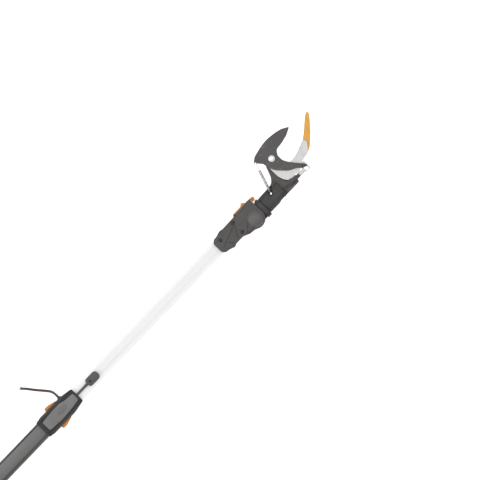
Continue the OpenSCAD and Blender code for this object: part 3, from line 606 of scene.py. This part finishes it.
# Frayed yarns past the cord's end: how far each turns aside, rises and runs, in millimetres
FRAY = ((-3.4, 0.6, 6), (-2.0, -0.4, 7.5), (-0.7, 1.2, 5), (0.6, -0.6, 8), (1.9, 0.8, 6.5), (3.3, -0.2, 5.5))


class PRUNER_OT_cord(bpy.types.Operator):
    """Lays the braided cord from its gland, with its frayed end"""
    bl_idname = "pruner.cord"
    bl_label = "Cord"

    def execute(self, context):
        pole = settings("pole")
        radius = pole.cord_diameter / 2
        path = smooth_path([(COLLAR_X + x * MM, y * MM, z * MM) for x, y, z in CORD_ROUTE], 3)
        finish = braid("cord_braid", pole.cord_colour)
        bm = bmesh.new()
        tube_along(bm, path, [radius] * len(path))
        cord = place("braided_cord", bm, [finish], "pole", ("cord",), 60)

        bm = bmesh.new()
        end, ahead = path[-1], (path[-1] - path[-3]).normalized()
        aside = Vector((-ahead.y, ahead.x, 0))
        for turn, rise, run in FRAY:
            root = end - ahead * 1.5 * MM + aside * turn * 0.35 * MM
            yarn = smooth_path([root, root + (ahead * run * 0.5 + aside * turn * 0.3) * MM,
                                root + (ahead * run + aside * turn + Vector((0, 0, rise))) * MM], 3)
            tube_along(bm, yarn, [(0.55 - 0.3 * i / len(yarn)) * MM for i in range(len(yarn))], 6)
        fray = place("cord_fray", bm, [finish], "pole")
        run = sum((b - a).length for a, b in zip(path, path[1:]))
        return {"FINISHED"}


class PRUNER_OT_straps(bpy.types.Operator):
    """Makes the woven pull straps inside the pole and the head"""
    bl_idname = "pruner.straps"
    bl_label = "Straps"

    def execute(self, context):
        finish = webbing("strap_webbing")
        for node, piece_name in (("pull_strap", "pull_webbing"), ("inner_strap", "tube_webbing"),
                                 ("head_strap", "head_webbing")):
            bm = copied(node, 1)
            lengthwise = [e for e in bm.edges
                          if abs((e.verts[0].co - e.verts[1].co).x) > STRAP_EDGE_MIN]
            round_edges(bm, lengthwise, STRAP_EDGE_ROUND, 3)
            piece = place(piece_name, bm, [finish], BODY_OF[node], (node,))
            if node == "head_strap":
                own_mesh(piece)
        return {"FINISHED"}


# ---- Pole, grip and pull ball ----

class PRUNER_OT_pole(bpy.types.Operator):
    """Finishes both tubes and makes the grip, its rings, the foot plug and the pull ball"""
    bl_idname = "pruner.pole"
    bl_label = "Pole and grip"

    def execute(self, context):
        pole, shell = settings("pole"), settings("shell")
        dress(tube_with_painted_highlight("anodised_tube_painted_highlight", pole.tube_colour, pole.highlight_band_colour), "outer_tube")
        dress(white_tube_with_painted_shade("white_tube_with_painted_shade", pole.sleeve_colour), "inner_tube")
        dress(moulded("bush_nylon", (0.05, 0.05, 0.05), 0.45), "inner_bush")
        accent = moulded("ball_plastic", shell.accent_colour, 0.42)
        rubber = soft_rubber("grip_rubber", pole.grip_colour)
        black = moulded("plug_plastic", shell.collar_colour, 0.5)
        softened("hand_grip", "soft_hand_grip", [rubber], 0.6 * MM)
        softened("butt_plug", "foot_plug", [black], 1.2 * MM, 3)
        softened("pull_ball", "pull_ball_body", [accent], 0.4 * MM)
        for side in ("1", "2"):
            softened("grip_ring_" + side, "grip_band_" + side, [accent], 1.2 * MM, 3)

        # Moulded parting rings round the pull ball
        bm = bmesh.new()
        ball_low, ball_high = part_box("pull_ball")
        radius = (ball_high.y - ball_low.y) / 2
        centre = Vector((ball_low.x + radius, (ball_low.y + ball_high.y) / 2, (ball_low.z + ball_high.z) / 2))
        for share in BALL_RINGS:
            ring(bm, centre + Vector((share * radius, 0, 0)), radius * math.sqrt(1 - share * share),
                 0.5 * MM, axis=(1, 0, 0))
        bmesh.ops.recalc_face_normals(bm, faces=bm.faces[:])
        place("pull_ball_ribs", bm, [accent], "puller")
        return {"FINISHED"}


# ---- Clamp collar ----

class PRUNER_OT_collar(bpy.types.Operator):
    """Makes the clamp collar, its panels, buttons, cord gland and stop knob"""
    bl_idname = "pruner.collar"
    bl_label = "Collar"

    def execute(self, context):
        shell = settings("shell")
        black = moulded("collar_plastic", shell.collar_colour, 0.46)
        grey = moulded("panel_plastic", shell.panel_colour, 0.5, 900)
        badge = moulded("badge_plastic", toward(shell.panel_colour, shell.collar_colour, 0.22), 0.4, 900)
        accent = moulded("button_plastic", shell.accent_colour, 0.4)
        knob = moulded("knob_plastic", (0.09, 0.085, 0.08), 0.5)
        dress(moulded("liner_nylon", (0.3, 0.3, 0.3), 0.4), "collar_liner")
        for side in ("front", "back"):
            softened("collar_" + side, "collar_shell_" + side, [black], shell.edge_round)
            softened("collar_panel_" + side, "collar_plate_" + side, [grey], 0.6 * MM)
        softened("collar_band", "collar_ring", [black], 1.0 * MM)
        softened("cord_gland", "cord_sleeve", [black], 0.5 * MM)
        softened("stop_knob", "stop_knob_body", [knob], 0.9 * MM)

        # Blank oval on each panel
        for side, piece_name in ((1, "collar_badge_front"), (-1, "collar_badge_back")):
            at = Matrix.Translation((COLLAR_X + 50 * MM, 1 * MM, side * (PANEL_TOP + 0.1 * MM)))
            bm = bmesh.new()
            bmesh.ops.create_cone(bm, cap_ends=True, segments=40, radius1=1, radius2=1, depth=1,
                                  matrix=at @ Matrix.Diagonal((12 * MM, 5.5 * MM, 0.6 * MM, 1)))
            round_edges(bm, bent_edges(bm, 60), 0.2 * MM)
            place(piece_name, bm, [badge], "pole")

        # Ribbed thumb pads on the buttons
        for node, side in (("button_upper", 1), ("button_lower", -1)):
            softened(node, node + "_cap", [accent], 0.6 * MM)
            low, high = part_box(node)
            face = high.y if side > 0 else low.y
            thumb_ribs(low.x + 3 * MM, 2.4 * MM, 4, face, node + "_ribs", accent, BODY_OF[node])

        # Eyelet in the stop knob's broad face
        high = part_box("stop_knob")[1]
        bm = bmesh.new()
        ring(bm, Vector((high.x - 20 * MM, 0, high.z - 0.3 * MM)), 1.6 * MM, 1.0 * MM, 24)
        place("stop_knob_eyelet", bm, [black], "pole")
        return {"FINISHED"}


# ---- Housing and lock lever ----

# Raised motif on the housing, coloured darker as painted shade of moulded grooves: straight runs in plan, in
# millimetres from its lower end
MOTIF = (((8.5, -7.4), (45.5, 6.3)), ((46.8, 13), (50.4, 7)), ((50.4, 7), (39.6, -14)),
         ((21.1, -8.1), (27.5, -14.6)), ((57, -20), (64, -13)), ((64, -13), (72.5, -6.3)))


class PRUNER_OT_housing(bpy.types.Operator):
    """Makes the head housing with its raised motif in painted groove shade, the domed joint caps lightened as
    a painted highlight, and the lock lever
    """
    bl_idname = "pruner.housing"
    bl_label = "Housing"

    def execute(self, context):
        shell = settings("shell")
        dark = moulded("housing_plastic", shell.shell_colour, 0.5)
        # Painted shade: the motif is darker than the housing to stand for shade in grooves.
        motif_groove_shade = moulded("motif_painted_groove_shade", toward(shell.shell_colour, (0, 0, 0), 0.6), 0.42)
        # Painted highlight: the domed joint caps are coloured a shade lighter than the housing.
        cap_painted_highlight = moulded("cap_plastic_painted_highlight", toward(shell.shell_colour, (1, 1, 1), 0.045), 0.4)
        accent = moulded("lever_plastic", shell.accent_colour, 0.4)
        for side in ("front", "back"):
            softened("housing_" + side, "housing_shell_" + side, [dark], 1.4 * MM, 3)
        softened("lock_lever", "lock_lever_body", [accent], 0.6 * MM)

        for side, piece_name in ((1, "housing_motif_front"), (-1, "housing_motif_back")):
            bm = bmesh.new()
            levels = sorted((side * (HOUSING_TOP - 0.6 * MM), side * (HOUSING_TOP + 0.5 * MM)))
            for start, end in MOTIF:
                bar(bm, (HEAD_X + start[0] * MM, start[1] * MM), (HEAD_X + end[0] * MM, end[1] * MM),
                    MOTIF_WIDTH, *levels)
            round_edges(bm, bm.edges[:], 0.25 * MM)
            place(piece_name, bm, [motif_groove_shade], "upper")
            bm = bmesh.new()
            at = Matrix.Translation((TILT.x, TILT.y, side * (HOUSING_TOP - 0.7 * MM)))
            bmesh.ops.create_uvsphere(bm, u_segments=48, v_segments=24, radius=1,
                                      matrix=at @ Matrix.Diagonal(CAP_SIZE))
            place("joint_cap_" + ("front" if side > 0 else "back"), bm, [cap_painted_highlight], "upper")

        low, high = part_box("lock_lever")
        thumb_ribs(low.x + 6 * MM, 2.6 * MM, 5, high.y - 4.5 * MM, "lock_lever_ribs", accent, "lever")
        return {"FINISHED"}


# ---- Cutting head ----

class PRUNER_OT_neck(bpy.types.Operator):
    """Makes the knuckle, the neck and the guide of the pull rod"""
    bl_idname = "pruner.neck"
    bl_label = "Neck"

    def execute(self, context):
        head = settings("head")
        casting = baked_coating("casting_paint", head.casting_colour, 0.42, amount=0.12)
        guide_colour = toward(head.casting_colour, (0.3, 0.26, 0.24), 0.18)
        guide = baked_coating("guide_paint", guide_colour, 0.45, amount=0.15)
        softened("knuckle", "tilt_knuckle", [casting], 0.8 * MM)
        softened("neck_back", "neck_frame", [casting], 0.7 * MM)
        softened("neck_front", "neck_cover", [casting], 0.9 * MM)
        softened("guide_plate", "rod_guide", [guide], 0.5 * MM)
        return {"FINISHED"}


class PRUNER_OT_blade(bpy.types.Operator):
    """Makes the coated blade with its ground edge"""
    bl_idname = "pruner.blade"
    bl_label = "Blade"

    def execute(self, context):
        head = settings("head")
        coating = baked_coating("blade_coating", head.blade_colour, 0.36)
        edge = ground_steel("blade_edge", toward(head.blade_colour, (0.5, 0.5, 0.5), 0.25), 0.3)
        softened("blade", "pruner_blade", [coating, edge], head.blade_chamfer, 1, 60)
        return {"FINISHED"}


class PRUNER_OT_hook(bpy.types.Operator):
    """Makes the fixed steel hook and its coated tip"""
    bl_idname = "pruner.hook"
    bl_label = "Hook"

    def execute(self, context):
        head = settings("head")
        steel = ground_steel("hook_steel", head.steel_colour)
        bright = ground_steel("hook_edge", toward(head.steel_colour, (1, 1, 1), 0.4), 0.25)
        tip = baked_coating("tip_coating", head.tip_colour, 0.36, amount=0.06)
        # Painted shade: the tip's rounded edges are coloured darker, as if in shadow.
        tip_edge_shade = baked_coating("tip_edge_painted_shade", toward(head.tip_colour, (0, 0, 0), 0.25), 0.4)
        softened("hook_plate", "pruner_hook", [steel, bright], 0.8 * MM, 1, 60)
        softened("hook_tip", "pruner_hook_tip", [tip, tip_edge_shade], 0.7 * MM, 1, 60)
        return {"FINISHED"}


class PRUNER_OT_spring(bpy.types.Operator):
    """Winds the return spring with its eye"""
    bl_idname = "pruner.spring"
    bl_label = "Return spring"

    def execute(self, context):
        head = settings("head")
        bright = zinc_plate("spring_wire", (0.74, 0.74, 0.73))
        eye = middle("spring_anchor")
        eye = Vector((eye.x, eye.y, -1 * MM))
        hook = middle("tail_pin")
        ahead = Vector((hook.x - eye.x, hook.y - eye.y, 0)).normalized()
        wire = head.coil_wire / 2
        radius = COIL_RADIUS - wire
        points = COIL_TURNS * COIL_STEPS
        aside = Vector((-ahead.y, ahead.x, 0))
        bm = bmesh.new()
        path = []
        for i in range(points + 1):
            angle = math.tau * i / COIL_STEPS
            path.append(eye + ahead * (COIL_START + COIL_RUN * i / points)
                        + (aside * math.cos(angle) + Vector((0, 0, 1)) * math.sin(angle)) * radius)
        tube_along(bm, path, [wire] * len(path), 6)
        leg = smooth_path([eye + ahead * EYE_RADIUS, eye + ahead * 5 * MM + aside * 0.4 * MM, path[0]], 5)
        tube_along(bm, leg, [wire] * len(leg), 6)
        ring(bm, eye, EYE_RADIUS, wire, 24)
        bmesh.ops.recalc_face_normals(bm, faces=bm.faces[:])
        place("return_coil", bm, [bright], "spring", ("spring_coil",), 60)
        dress(bright, "spring_rod", "spring_anchor")
        return {"FINISHED"}


class PRUNER_OT_hardware(bpy.types.Operator):
    """Finishes the bolts, pins, rivets, screws, roller, cleat and pull yoke"""
    bl_idname = "pruner.hardware"
    bl_label = "Bolts and pins"

    def execute(self, context):
        head = settings("head")
        zinc = zinc_plate("zinc_hardware")
        # Partly painted highlight: bright steel, with its colour raised near to white; also used on the hook
        # rivets.
        bright = ground_steel("bolt_steel_painted_highlight", (0.95, 0.95, 0.94), 0.28, metallic=0.45)
        black = baked_coating("black_hardware", (0.03, 0.03, 0.03), 0.4, amount=0.25)
        bolt = baked_coating("tilt_bolt_coating", (0.11, 0.105, 0.10), 0.34, amount=0.2)
        nylon = moulded("roller_nylon", (0.8, 0.8, 0.77), 0.35)
        dress(zinc, "collar_screw_1", "collar_screw_2", "strap_cleat", "tilt_nut", "pivot_nut", "tail_pin")
        dress(bright, "hook_rivet_1", "hook_rivet_2")
        dress(black, "housing_screw_1", "housing_screw_2", "housing_screw_3", "lever_pin", "drive_pin",
              "neck_rivet_1", "neck_rivet_2", "neck_rivet_3", "neck_rivet_4")
        dress(bolt, "tilt_bolt")
        dress(nylon, "strap_roller")
        softened("pivot_bolt", "pivot_bolt_head", [bright], 0.4 * MM)
        rod = rod_finish("yoke_steel", head.steel_colour, head.casting_colour)
        softened("pull_yoke", "blade_yoke", [rod], 0.3 * MM)
        return {"FINISHED"}


class PRUNER_PT_panel(bpy.types.Panel):
    """Shows the pruner's settings and the buttons that make its pieces"""
    bl_idname = "PRUNER_PT_panel"
    bl_label = "Tree pruner"
    bl_space_type = "VIEW_3D"
    bl_region_type = "UI"
    bl_category = "Pruner"

    def draw(self, context):
        for group in GROUPS:
            values = settings(group)
            box = self.layout.box()
            box.label(text=group.title())
            for key in values.bl_rna.properties.keys():
                if key not in ("rna_type", "name"):
                    box.prop(values, key)
        for maker in MAKERS:
            self.layout.operator(maker.bl_idname)


GROUPS = {"pole": PrunerPoleSettings, "shell": PrunerShellSettings, "head": PrunerHeadSettings,
          "stage": PrunerStageSettings}
MAKERS = (PRUNER_OT_stage, PRUNER_OT_cord, PRUNER_OT_straps, PRUNER_OT_pole, PRUNER_OT_collar,
          PRUNER_OT_housing, PRUNER_OT_neck, PRUNER_OT_blade, PRUNER_OT_hook, PRUNER_OT_spring,
          PRUNER_OT_hardware)


def register():
    for group, kind in GROUPS.items():
        bpy.utils.register_class(kind)
        setattr(bpy.types.Scene, "pruner_" + group, PointerProperty(type=kind))
    for kind in (*MAKERS, PRUNER_PT_panel):
        bpy.utils.register_class(kind)


def unregister():
    for kind in reversed((*MAKERS, PRUNER_PT_panel)):
        bpy.utils.unregister_class(kind)
    for group, kind in GROUPS.items():
        delattr(bpy.types.Scene, "pruner_" + group)
        bpy.utils.unregister_class(kind)


def main():
    register()
    for maker in MAKERS:
        space, name = maker.bl_idname.split(".")
        getattr(getattr(bpy.ops, space), name)()


if __name__ == "__main__":
    main()
